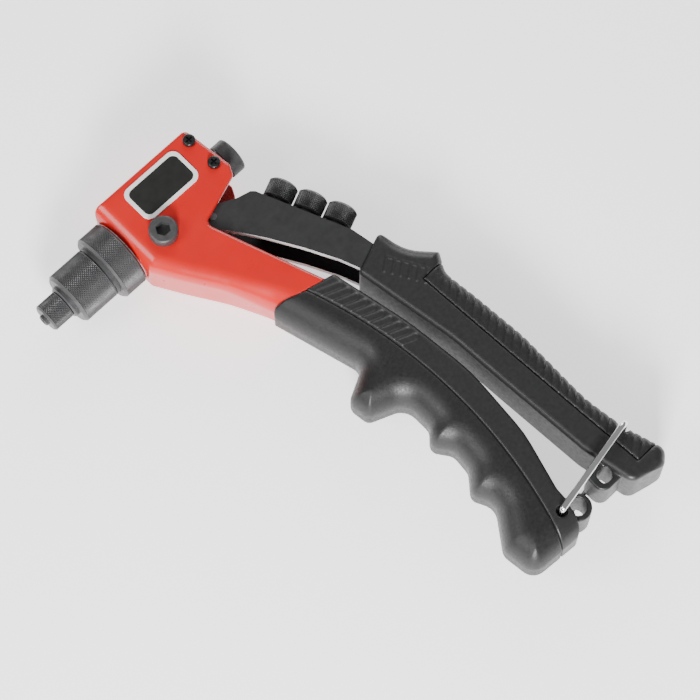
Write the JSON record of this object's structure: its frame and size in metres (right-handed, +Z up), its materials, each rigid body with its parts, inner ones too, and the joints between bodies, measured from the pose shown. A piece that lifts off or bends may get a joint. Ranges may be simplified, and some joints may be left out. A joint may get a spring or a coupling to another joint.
{
  "type": "hand riveter",
  "caption": "Hand riveter with a cast head, lever handles, knurled nose, spare nosepieces stored on the moving arm and a wire bail that latches the handles shut",
  "frame": {"origin": "centre of the mouth of the fitted nosepiece", "axes": "+Z up out of the nameplate side, nose axis along X with the nose pointing to -X, handles towards -Y"},
  "size_m": [0.1491, 0.2529, 0.04],
  "materials": {
    "red_paint": "gloss",
    "blackened_steel": "blackened, satin",
    "black_enamel": "satin",
    "nameplate_black": "satin, white rim",
    "grip_rubber": "matte",
    "grip_plastic": "fine texture",
    "bare_steel": "ground",
    "spring_steel": "oiled",
    "bearing_bronze": "sintered",
    "bright_wire": "polished"
  },
  "bodies": {
    "frame": {"body_casting": "red_paint", "nose_housing": "blackened_steel", "nosepiece_fitted": "blackened_steel", "lock_ring": "blackened_steel", "ring_washer": "bare_steel", "rear_guide": "blackened_steel", "guide_screws": "blackened_steel", "nameplate": "nameplate_black", "pivot_bolt": "blackened_steel", "pivot_nut": "blackened_steel", "pivot_washer": "blackened_steel", "return_spring": "spring_steel", "fixed_grip_spine": "grip_plastic", "fixed_grip_rubber": "grip_rubber"},
    "arm": {"arm_channel": "black_enamel", "pivot_bushes": "bearing_bronze", "arm_cross_pin": "bare_steel", "spare_holder_strip": "black_enamel", "nosepiece_spare_large": "blackened_steel", "nosepiece_spare_medium": "blackened_steel", "nosepiece_spare_small": "blackened_steel", "moving_grip_shell": "grip_plastic", "moving_grip_pad": "grip_rubber"},
    "jaw_carrier": {"jaw_case": "bare_steel", "pull_tube": "bare_steel", "pull_pins": "bare_steel", "spring_collar": "bare_steel", "retaining_ring": "bare_steel", "mandrel_outlet": "blackened_steel", "jaw_spring": "spring_steel"},
    "jaws": {"jaw_upper": "bare_steel", "jaw_lower": "bare_steel", "jaw_pusher": "bare_steel"},
    "latch": {"bail": "bright_wire"}
  },
  "joints": [
    {"name": "arm_pivot", "type": "hinge", "parent": "frame", "child": "arm", "pos_m": [0.0625, -0.0112, 0], "axis": [0, 0, 1], "range_deg": [0, 21]},
    {"name": "jaw_carrier_slide", "type": "slide", "parent": "frame", "child": "jaw_carrier", "axis": [1, 0, 0], "range_m": [-0.00415, 0], "deforming": ["return_spring"]},
    {"name": "jaw_float", "type": "slide", "parent": "jaw_carrier", "child": "jaws", "axis": [1, 0, 0], "range_m": [0, 0.0015], "deforming": ["jaw_spring"]},
    {"name": "bail_swing", "type": "hinge", "parent": "frame", "child": "latch", "pos_m": [0.097, -0.2195, 0], "axis": [0, 0, 1], "range_deg": [-110, 0], "deforming": ["bail"]}
  ],
  "couplings": [
    {"joint": "jaw_carrier_slide", "follows": "arm_pivot", "m_per_rad": -0.011327},
    {"joint": "jaw_float", "follows": "arm_pivot", "m_per_rad": 0.0040926}
  ]
}
